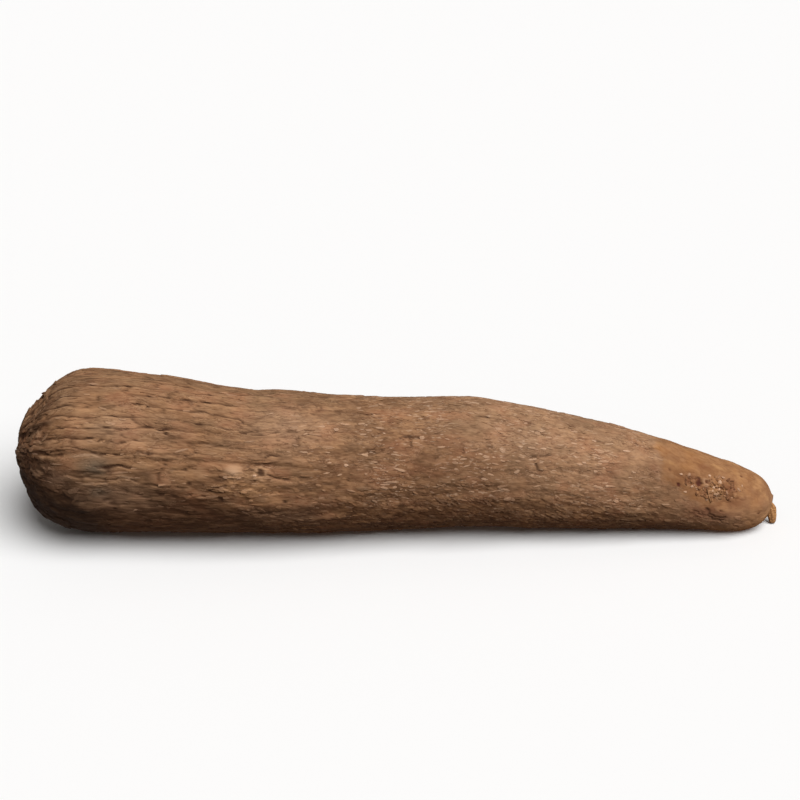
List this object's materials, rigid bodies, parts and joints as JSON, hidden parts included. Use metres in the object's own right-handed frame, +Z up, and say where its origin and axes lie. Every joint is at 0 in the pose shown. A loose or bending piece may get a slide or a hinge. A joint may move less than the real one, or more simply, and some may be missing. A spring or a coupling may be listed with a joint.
{
  "type": "pona yam",
  "caption": "Whole raw white yam with bark-like brown skin: a long tuber with a blunt, cracked head and a smoother tapered tail, lying on its side.",
  "frame": {"origin": "on the surface that the yam lies on, below the middle of its length and width", "axes": "+X along the yam from its blunt head to its tapered tail, -Y towards the side that faces the viewer, +Z up"},
  "size_m": [0.452, 0.1008, 0.0948],
  "materials": {
    "yam_skin": "matte, dry and corky"
  },
  "bodies": {
    "root": {"yam": "yam_skin"}
  },
  "joints": []
}
